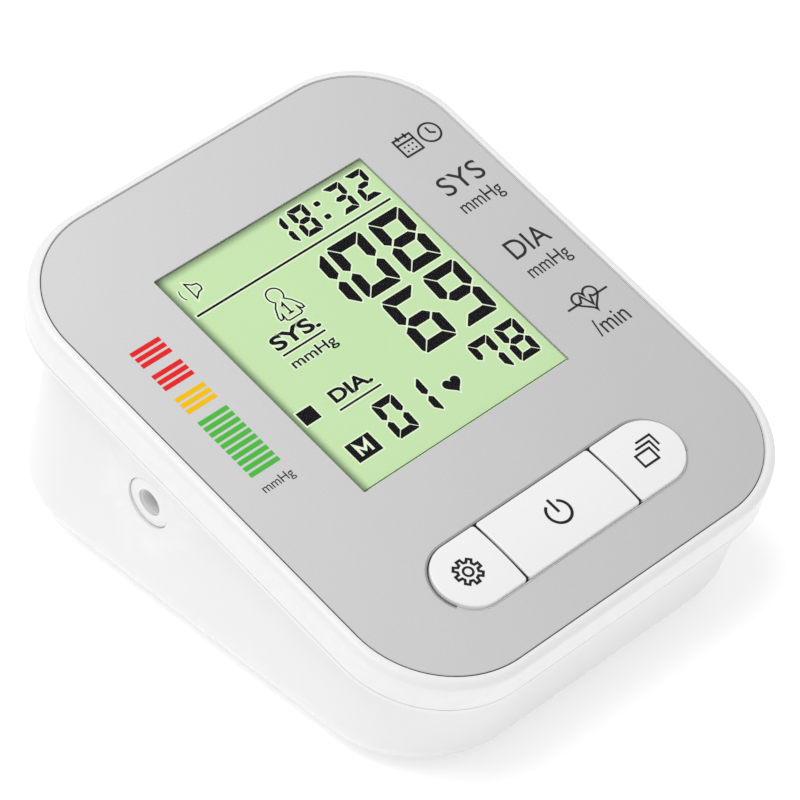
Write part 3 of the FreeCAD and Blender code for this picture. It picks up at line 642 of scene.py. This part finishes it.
def display_words():
    """Names and unit of the pressures with their pale lines, and the M on the memory square."""
    edge = PALE_EDGE * 0.9
    for name, word, spot, weight in (
            ("display_sys", "SYS.", (-18.8, -7.2, 16.1, 19.6), 0.028),
            ("display_dia", "DIA.", (-17.8, -7.8, 0.2, 3.3), 0.028),
            ("display_unit", "mmHg", (-18.7, -7.4, 10.3, 13.4), 0.01)):
        lettering(name, word, spot, (GLASS_TOP, MARK_TOP), display_ink, weight,
                  DISPLAY_FACE)
        x0, x1, u0, u1 = spot
        lettering(name + "_edge", word, (x0 - edge, x1 + edge, u0 - edge, u1 + edge),
                  (GLASS_TOP, EDGE_TOP), display_light, weight + edge / 5,
                  DISPLAY_FACE)
    sheet = Sheet("display_memory", MARK_TOP, MARK_TOP + 0.015)
    letter = [(-21.9, -12.1), (-21.9, -9.4), (-20.55, -11.2), (-19.2, -9.4), (-19.2, -12.1)]
    sheet.line(letter, 0.62)
    sheet.piece(display_light, place=DISPLAY_FACE)


def window_edge_shadow():
    """Dark line of painted shadow where the glass ends along the front of the window."""
    u = WINDOW_LOW.y + 0.36
    sheet = Sheet("window_edge_shadow", GLASS_TOP, GLASS_TOP + INK)
    sheet.line([(WINDOW_LOW.x + 0.3, u), (WINDOW_HIGH.x - 0.1, u)], 0.2)
    sheet.piece(groove_shade)


# ---- printing on the fascia ---------------------------------------------------------------------
def pressure_scale():
    """Colour scale left of the display: groups of short bars, counted up from the front."""
    left, right = -43.1, -35.6
    pitch, height = 1.64, 1.08
    for name, ink, start, count in (("green", "green", -3.3, 10), ("yellow", "yellow", 15.0, 3),
                                    ("red_low", "red", 21.75, 3), ("red_high", "red", 28.3, 3)):
        sheet = Sheet("scale_" + name, FASCIA_TOP, FASCIA_TOP + INK)
        for i in range(count):
            u = start + i * pitch
            sheet.box(left, right, u, u + height, 0.12)
        sheet.piece(scale_inks[ink])


def label_column():
    """Signs and words right of the display, and the unit under the colour scale."""
    top = FASCIA_TOP + INK
    sheet = Sheet("label_signs", FASCIA_TOP, top)
    pen = 0.46
    # calendar leaf and clock for the date line
    sheet.line([(36.1, 37.8), (36.1, 42.4), (40.6, 42.4), (40.6, 37.8)], pen, closed=True)
    sheet.line([(36.1, 41.0), (40.6, 41.0)], pen)
    for x in (37.4, 39.3):
        sheet.line([(x, 41.8), (x, 43.1)], pen)
    for x in (37.3, 38.4, 39.5):
        for u in (38.8, 40.0):
            sheet.box(x - 0.22, x + 0.22, u - 0.22, u + 0.22)
    sheet.line(arc(44.4, 40.1, 2.4, 0, 345, 28), pen, closed=True)
    sheet.line([(44.4, 41.6), (44.4, 40.1), (45.5, 39.4)], pen)
    # beating heart for the pulse line
    sheet.line(heart(41.4, -9.7, 3.1, 0.19, 40), pen, closed=True)
    sheet.line([(35.9, -9.9), (39.6, -9.9), (40.5, -8.5), (41.6, -11.5), (42.5, -9.4),
                (43.0, -9.9), (46.9, -9.9)], pen)
    sheet.piece(label_ink)
    for name, word, spot in (("label_sys", "SYS", (36.0, 46.9, 25.2, 30.0)),
                             ("label_dia", "DIA", (36.4, 46.5, 5.5, 10.2)),
                             ("label_scale_unit", "mmHg", (-43.2, -35.6, -8.3, -5.6)),
                             ("label_sys_unit", "mmHg", (36.0, 46.8, 18.9, 23.3)),
                             ("label_dia_unit", "mmHg", (36.0, 46.8, -1.0, 3.4)),
                             ("label_rate_unit", "/min", (37.2, 45.8, -18.5, -14.3))):
        lettering(name, word, spot, (FASCIA_TOP, top), label_ink)


# ---- painted shade in the open lines round fascia and keys --------------------------------------
def band(name, outline, profile, material, closed=True):
    """Lining along an outline; profile is its section as (outset, height) points."""
    sheet = Sheet(name, 0, 0)
    rails = [[sheet.mesh.verts.new((x, u, n)) for x, u in outline(outset)]
             for outset, n in profile]
    count = len(rails[0])
    for one, other in zip(rails, rails[1:] + rails[:1]):
        for i in range(count if closed else count - 1):
            j = (i + 1) % count
            sheet.mesh.faces.new((one[i], one[j], other[j], other[i]))
    if not closed:
        sheet.mesh.faces.new([rail[0] for rail in rails])
        sheet.mesh.faces.new([rail[-1] for rail in rails])
    sheet.piece(material)


def fascia_outline(outset):
    """Edge of the fascia, grown by outset."""
    half = FACE_WIDTH / 2 - FASCIA_GAP + outset
    half_length = FACE_LENGTH / 2 - FASCIA_GAP + outset
    return rounded(-half, half, -half_length, half_length, FACE_CORNER - FASCIA_GAP + outset)


def slot_stretch(outset, start, end):
    """Key slot grown by outset, between two angles of its round right end and mirrored left."""
    reach = (SLOT_LENGTH - SLOT_HEIGHT) / 2
    right = arc(SLOT_X + reach, SLOT_U, SLOT_HEIGHT / 2 + outset, start, end, 40)
    return right + [(2 * SLOT_X - x, u) for x, u in reversed(right)]


def slot_back(outset):
    """Back of the slot, and its round ends down to a little past their middles."""
    return slot_stretch(outset, -30, 90)


def slot_front(outset):
    """Front of the slot, from where its back stretch ends."""
    return slot_stretch(outset, -30, -90)


def groove_linings():
    """Linings: dark painted shade in the gap round the fascia and along the back of the slot, grey
    painted shade on the slot's back bevel, pale ledges in the groove and along the slot's front.
    """
    white = finishes["housing_white"]
    # painted shade: dark lining on the fascia's side wall, all round the gap
    dark_edge = [(-0.03, -0.15), (0.05, -0.2), (0.05, -1.5), (0.0, -1.5), (0.0, -0.25)]
    band("fascia_edge", fascia_outline, dark_edge, groove_shade)
    ledge = [(0.12, -0.34), (0.14, -0.27), (0.28, -0.27), (0.28, -0.5), (0.12, -0.5)]
    band("fascia_groove", fascia_outline, ledge, white)
    # painted shade: dark lining on the slot's wall, along its back only
    slot_wall = [(0.1, -0.1), (0.1, -0.2), (0.0, -0.3), (0.0, -1.5), (-0.03, -1.5),
                 (-0.05, -0.1)]
    band("slot_edge", slot_back, slot_wall, groove_shade, closed=False)
    # painted shade: grey band on the slot's bevel, along its back only
    bevel = [(0.08, -0.12), (0.5, 0.02), (0.5, -0.4), (0.08, -0.4)]
    band("slot_bevel", slot_back, bevel, bevel_shade, closed=False)
    floor = [(-0.01, -0.36), (-0.01, -0.8), (-0.2, -0.8), (-0.2, -0.36)]
    band("slot_floor", slot_front, floor, white, closed=False)


def key_gap_shades():
    """Dark strips of painted shade that fill the lines between neighbouring keys."""
    half_height = SLOT_HEIGHT / 2 - 0.5
    sheet = Sheet("key_gap_shades", -3.0, 0.35)
    for x in KEY_SPLITS:
        sheet.box(x - GAP_SHADE_HALF, x + GAP_SHADE_HALF, SLOT_U - half_height, SLOT_U + half_height)
    sheet.piece(key_ink_and_gap_shade)


# ---- signs on the keys --------------------------------------------------------------------------
def key_surface(node):
    """Search tree of a key's mesh in the face frame."""
    bpy.context.view_layer.update()
    obj = frame["nodes"][node]
    to_face = FACE.inverted() @ obj.matrix_world
    points = [to_face @ v.co for v in obj.data.vertices]
    return BVHTree.FromPolygons(points, [p.vertices[:] for p in obj.data.polygons])


def key_symbol(name, key, draw):
    """Printed sign laid on the curved top of its key."""
    sheet = Sheet(name, -0.08, INK)
    draw(sheet)
    surface = key_surface(key + "_button")
    above = 5.0
    for v in sheet.mesh.verts:
        hit = surface.ray_cast(Vector((v.co.x, v.co.y, above)), Vector((0, 0, -1)))[0]
        v.co.z += hit.z
    bmesh.ops.triangulate(sheet.mesh, faces=sheet.mesh.faces)
    sheet.piece(key_ink_and_gap_shade, body=key + "_key")


def set_sign(sheet):
    """Cog wheel with eight teeth."""
    x, u = -24.4, -44.2
    root, tip = 2.1, 2.95
    teeth = []
    for i in range(8):
        for turn, r in ((-14, root), (-9, tip), (9, tip), (14, root)):
            teeth += arc(x, u, r, i * 45 + turn, i * 45 + turn, 1)[:1]
    sheet.line(dense(teeth + teeth[:1])[:-1], 0.55, closed=True)
    sheet.line(arc(x, u, 1.0, 0, 345, 23), 0.5, closed=True)


def power_sign(sheet):
    """Open ring with a bar through its gap."""
    x, u, pen = -0.3, -44.4, 0.62
    sheet.line(arc(x, u, 2.6, 122, 418, 36), pen)
    sheet.line(dense([(x, u - 0.1), (x, u + 3.4)]), pen)


def memory_sign(sheet):
    """Stack of saved readings."""
    x, u = 24.1, -44.2
    width, height, step, pen = 3.8, 2.9, 1.15, 0.5
    for i in range(3):
        left, low = x - 2.9 + step * i, u - 2.6 + step * i
        right, top = left + width, low + height
        if i == 0:
            page = dense([(left, low), (right, low), (right, top), (left, top), (left, low)])
            sheet.line(page[:-1], pen, closed=True)
        else:
            sheet.line(dense([(left, top), (right, top), (right, low)]), pen)


# ---- small fittings -----------------------------------------------------------------------------
def lathe(name, profile, centre, axis, material, body, steps=48):
    """Ring or sleeve turned about an axis; profile is (distance along, radius) in mm."""
    mesh = bmesh.new()
    rings = []
    for along, radius in profile:
        rings.append([mesh.verts.new((radius * math.cos(2 * math.pi * i / steps),
                                      radius * math.sin(2 * math.pi * i / steps), along))
                      for i in range(steps)])
    for r0, r1 in zip(rings, rings[1:] + rings[:1]):
        for i in range(steps):
            j = (i + 1) % steps
            mesh.faces.new((r0[i], r0[j], r1[j], r1[i]))
    bmesh.ops.recalc_face_normals(mesh, faces=mesh.faces)
    data = bpy.data.meshes.new(name)
    mesh.to_mesh(data)
    mesh.free()
    turn = Vector(axis).to_track_quat("Z", "Y").to_matrix().to_4x4()
    data.transform(Matrix.Translation(Vector(centre)) @ turn @ Matrix.Scale(MM, 4))
    for polygon in data.polygons:
        polygon.use_smooth = True
    return settle(name, data, material, body)


def socket_sleeve():
    """Soft sleeve inside the air socket that grips the plug; its grey, a little darker than the
    socket, is partly painted shade inside the hole.
    """
    low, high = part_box("air_socket")
    centre = (low.x, (low.y + high.y) / 2, (low.z + high.z) / 2)
    profile = [(0.55, 2.98), (0.5, 2.9), (0.7, 2.75), (11.6, 2.7), (11.8, 2.8), (11.8, 2.98)]
    lathe("socket_sleeve", profile, centre, (1, 0, 0), sleeve_grey_and_shade, "case")


# ---- studio -------------------------------------------------------------------------------------
VIEW_TURN = math.radians(43.738)       # camera: turned from straight in front to the left
VIEW_RISE = math.radians(42.215)       # and raised above the table
VIEW_DISTANCE = 896.91                 # from the point it looks at, mm
VIEW_AIM = Vector((-3.996, -3.063, -5.485))    # that point, from the middle of the face
LENS, SENSOR = 207.0, 36.0


def studio_floor():
    """Pale paper that glows a little, so that it reads as plain white."""
    reach = 6.0
    data = bpy.data.meshes.new("studio_floor")
    data.from_pydata([(-reach, -reach, 0), (reach, -reach, 0), (reach, reach, 0),
                      (-reach, reach, 0)], [], [(0, 1, 2, 3)])
    floor = bpy.data.objects.new("studio_floor", data)
    bpy.context.scene.collection.objects.link(floor)
    paper = finish("studio_paper", srgb(252, 252, 252), 0.9, drift=0.0, bump=0.0, specular=0.0)
    glow = paper.node_tree.nodes["Principled BSDF"].inputs
    glow["Emission Color"].default_value = (1, 1, 1, 1)
    glow["Emission Strength"].default_value = 0.24
    data.materials.append(paper)


def point_at(obj, place, direction):
    """Puts a camera or lamp in its place, facing along direction."""
    obj.location = place
    obj.rotation_mode = "QUATERNION"
    obj.rotation_quaternion = direction.to_track_quat("-Z", "Y")
    bpy.context.scene.collection.objects.link(obj)


def studio_lights():
    """Even white air and one wide soft lamp overhead, a little to the left."""
    world = bpy.data.worlds.new("studio_air")
    world.use_nodes = True
    sky = world.node_tree.nodes["Background"]
    sky.inputs["Color"].default_value = (1, 1, 1, 1)
    sky.inputs["Strength"].default_value = 0.66
    bpy.context.scene.world = world
    data = bpy.data.lights.new("overhead", "AREA")
    data.shape = "DISK"
    data.size = 0.9
    data.energy = 6.4
    place, target = Vector((-0.25, 0.15, 1.1)), Vector((0, 0, 0.04))
    point_at(bpy.data.objects.new("overhead", data), place, target - place)


def camera():
    """Long lens from the front left, well above the face."""
    data = bpy.data.cameras.new("camera")
    data.sensor_width = SENSOR
    data.lens = LENS
    data.clip_start = 0.05
    data.clip_end = 20.0
    back = Vector((-math.sin(VIEW_TURN) * math.cos(VIEW_RISE),
                   -math.cos(VIEW_TURN) * math.cos(VIEW_RISE), math.sin(VIEW_RISE)))
    eye = bpy.data.objects.new("camera", data)
    point_at(eye, FACE_ORIGIN + (VIEW_AIM + back * VIEW_DISTANCE) * MM, -back)
    bpy.context.scene.camera = eye


# ---- make every piece ---------------------------------------------------------------------------
display_digits()
display_marks()
display_words()
window_edge_shadow()
pressure_scale()
label_column()
groove_linings()
key_gap_shades()
key_symbol("set_sign", "set", set_sign)
key_symbol("power_sign", "power", power_sign)
key_symbol("memory_sign", "memory", memory_sign)
socket_sleeve()
studio_floor()
studio_lights()
camera()
bpy.context.scene.view_settings.view_transform = "Standard"
